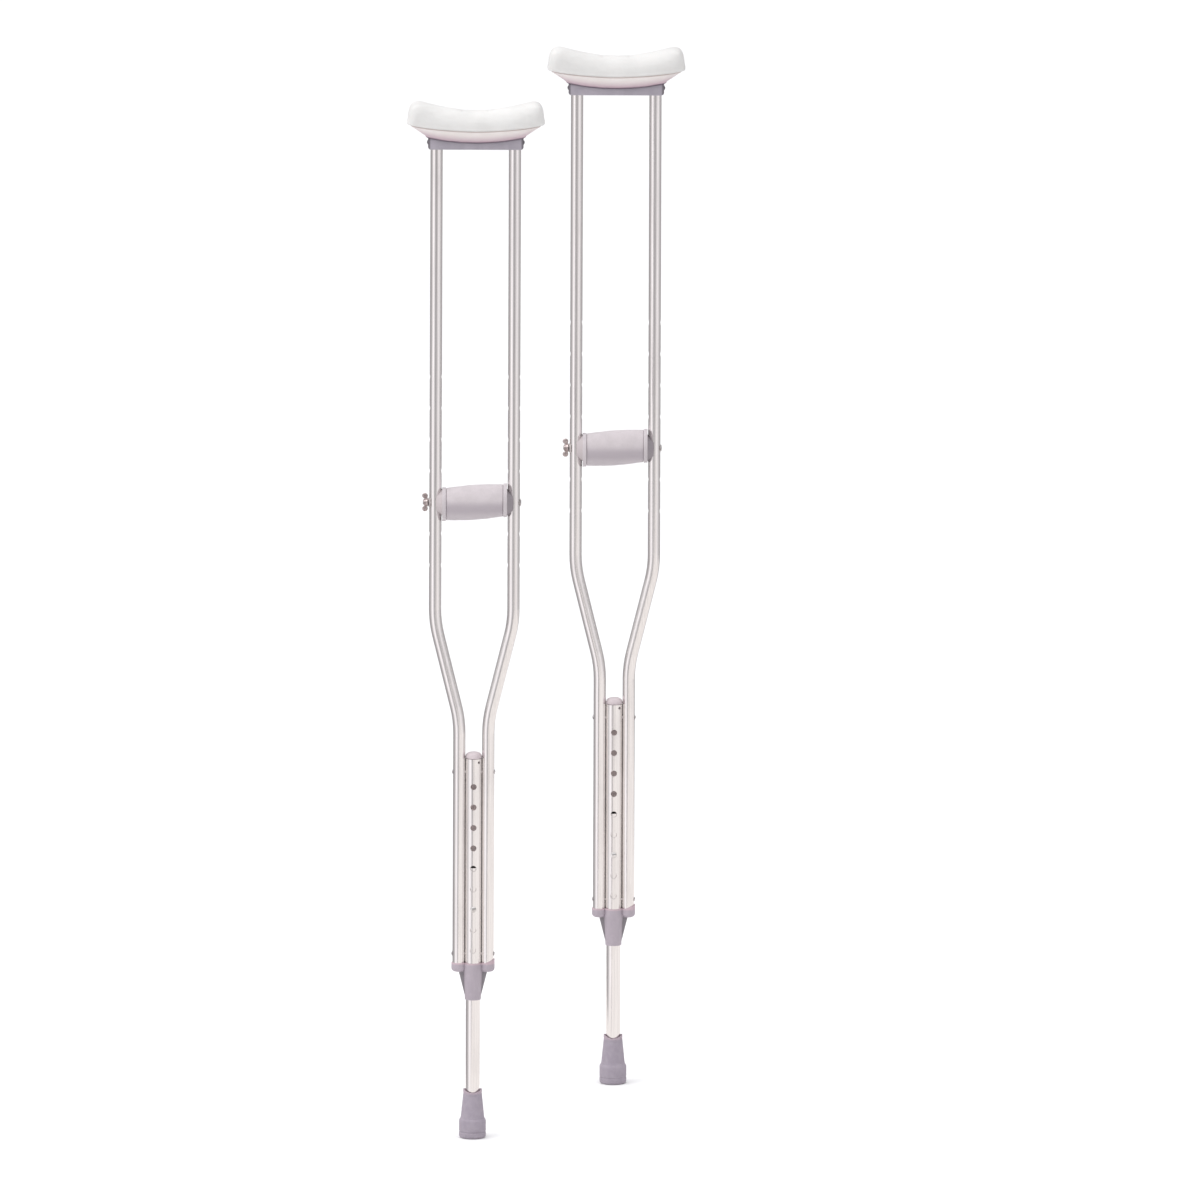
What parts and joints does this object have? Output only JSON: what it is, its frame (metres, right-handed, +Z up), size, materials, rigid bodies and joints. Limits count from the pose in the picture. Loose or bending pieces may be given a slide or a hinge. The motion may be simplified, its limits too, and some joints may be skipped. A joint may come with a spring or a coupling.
{
  "type": "underarm crutches",
  "caption": "Pair of adjustable tubular underarm crutches with saddle pads, foam handgrips, push-button leg tubes and flared rubber tips.",
  "frame": {"origin": "on the floor, in the middle of the pair's box: the tips stand on z = 0", "axes": "+Z up along the crutches, +X along the handgrips away from the wing nuts, +Y to the back, away from the snap buttons"},
  "size_m": [0.372, 0.402, 1.4176],
  "materials": {
    "satin_aluminium": "satin clear-anodised tube with fine drawn lines",
    "plug_plastic": "smooth moulded plastic",
    "grey_plastic": "fine-textured moulded nylon, cool grey",
    "rivet_aluminium": "plain aluminium rivets",
    "pad_vinyl": "off-white moulded foam with a soft matt skin",
    "button_steel": "plated spring steel",
    "tip_rubber": "matt moulded grey rubber",
    "grip_foam": "pale grey closed-cell foam",
    "cup_plastic": "moulded plastic, cool grey",
    "bolt_steel": "zinc-plated steel, slightly dulled"
  },
  "bodies": {
    "left_frame": {"left_upright_nut_side": "satin_aluminium", "left_upright_head_side": "satin_aluminium", "left_centre_tube": "satin_aluminium", "left_centre_tube_plug": "plug_plastic", "left_collar": "grey_plastic", "left_frame_rivets": "rivet_aluminium", "left_pad_holder": "grey_plastic", "left_holder_rivets": "rivet_aluminium", "left_underarm_pad": "pad_vinyl"},
    "left_leg": {"left_leg_tube": "satin_aluminium", "left_button_spring": "button_steel", "left_rubber_tip": "tip_rubber", "left_tip_disc": "button_steel"},
    "left_button": {"left_snap_button": "button_steel"},
    "left_handle": {"left_grip_foam": "grip_foam", "left_grip_core": "cup_plastic", "left_end_cup_nut_side": "cup_plastic", "left_end_cup_head_side": "cup_plastic", "left_handle_bolt": "bolt_steel"},
    "left_washer": {"left_saddle_washer": "bolt_steel"},
    "left_nut": {"left_wing_nut": "bolt_steel"},
    "right_frame": {"right_upright_nut_side": "satin_aluminium", "right_upright_head_side": "satin_aluminium", "right_centre_tube": "satin_aluminium", "right_centre_tube_plug": "plug_plastic", "right_collar": "grey_plastic", "right_frame_rivets": "rivet_aluminium", "right_pad_holder": "grey_plastic", "right_holder_rivets": "rivet_aluminium", "right_underarm_pad": "pad_vinyl"},
    "right_leg": {"right_leg_tube": "satin_aluminium", "right_button_spring": "button_steel", "right_rubber_tip": "tip_rubber", "right_tip_disc": "button_steel"},
    "right_button": {"right_snap_button": "button_steel"},
    "right_handle": {"right_grip_foam": "grip_foam", "right_grip_core": "cup_plastic", "right_end_cup_nut_side": "cup_plastic", "right_end_cup_head_side": "cup_plastic", "right_handle_bolt": "bolt_steel"},
    "right_washer": {"right_saddle_washer": "bolt_steel"},
    "right_nut": {"right_wing_nut": "bolt_steel"}
  },
  "joints": [
    {"name": "left_leg_height", "type": "slide", "parent": "left_frame", "child": "left_leg", "axis": [0, 0, 1], "range_m": [-0.056, 0.112]},
    {"name": "left_button_press", "type": "slide", "parent": "left_leg", "child": "left_button", "axis": [0, 1, 0], "range_m": [0, 0.004], "stiffness_N_per_m": 2000, "springref_m": -0.001, "deforming": ["left_button_spring"]},
    {"name": "left_handle_height", "type": "slide", "parent": "left_frame", "child": "left_handle", "axis": [0, 0, 1], "range_m": [-0.086, 0.172]},
    {"name": "left_washer_travel", "type": "slide", "parent": "left_handle", "child": "left_washer", "axis": [-1, 0, 0], "range_m": [0, 0.00508]},
    {"name": "left_wing_nut_turn", "type": "hinge", "parent": "left_washer", "child": "left_nut", "pos_m": [-0.16, -0.177, 0.869], "axis": [-1, 0, 0], "range_deg": [0, 1440]},
    {"name": "right_leg_height", "type": "slide", "parent": "right_frame", "child": "right_leg", "axis": [0, 0, 1], "range_m": [-0.056, 0.112]},
    {"name": "right_button_press", "type": "slide", "parent": "right_leg", "child": "right_button", "axis": [0, 1, 0], "range_m": [0, 0.004], "stiffness_N_per_m": 2000, "springref_m": -0.001, "deforming": ["right_button_spring"]},
    {"name": "right_handle_height", "type": "slide", "parent": "right_frame", "child": "right_handle", "axis": [0, 0, 1], "range_m": [-0.086, 0.172]},
    {"name": "right_washer_travel", "type": "slide", "parent": "right_handle", "child": "right_washer", "axis": [-1, 0, 0], "range_m": [0, 0.00508]},
    {"name": "right_wing_nut_turn", "type": "hinge", "parent": "right_washer", "child": "right_nut", "pos_m": [0.028, 0.177, 0.869], "axis": [-1, 0, 0], "range_deg": [0, 1440]},
    {"name": "pair_spacing", "type": "slide", "parent": "left_frame", "child": "right_frame", "axis": [1, 0, 0], "range_m": [0, 0.3]}
  ],
  "couplings": [
    {"joint": "left_wing_nut_turn", "follows": "left_washer_travel", "rad_per_m": 4947.4},
    {"joint": "right_wing_nut_turn", "follows": "right_washer_travel", "rad_per_m": 4947.4}
  ]
}
